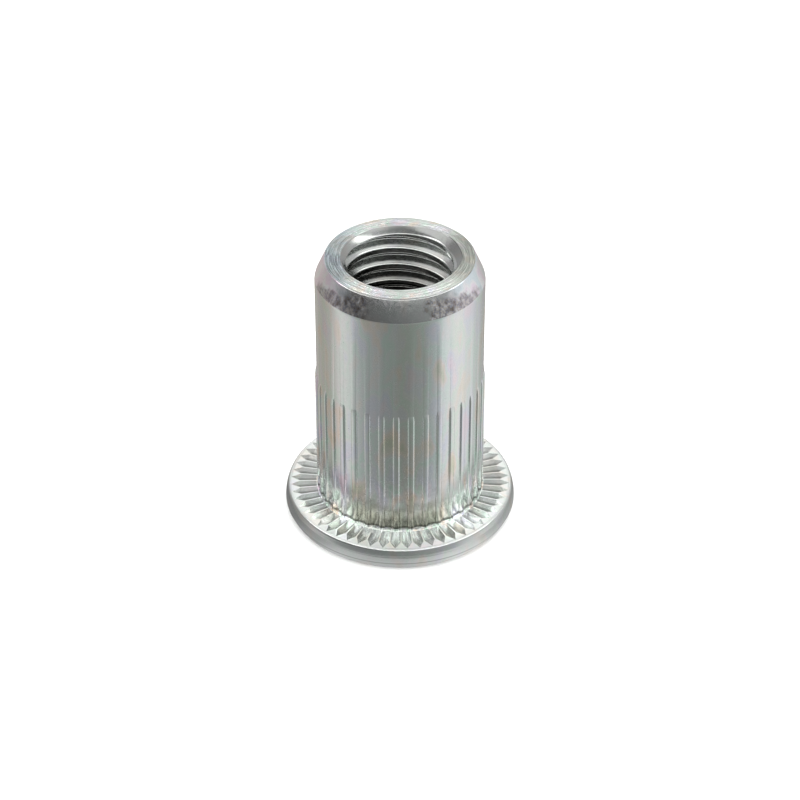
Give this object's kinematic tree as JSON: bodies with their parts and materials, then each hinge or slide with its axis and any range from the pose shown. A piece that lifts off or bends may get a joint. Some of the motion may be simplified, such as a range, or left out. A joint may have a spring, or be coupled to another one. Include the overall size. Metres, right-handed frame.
{
  "type": "rivet nut",
  "caption": "Flanged blind rivet nut with a ribbed round shank, a serrated flange face and a threaded through bore, in zinc-plated steel.",
  "frame": {"origin": "centre of the flange's outer face, where the screw enters", "axes": "+Z along the axis, from the flange up the shank to the threaded tip"},
  "size_m": [0.0154, 0.0154, 0.0195],
  "materials": {
    "zinc_plated_steel": "bright zinc plate with a clear, faintly iridescent passivate"
  },
  "bodies": {
    "root": {"rivet_nut": "zinc_plated_steel"}
  },
  "joints": []
}
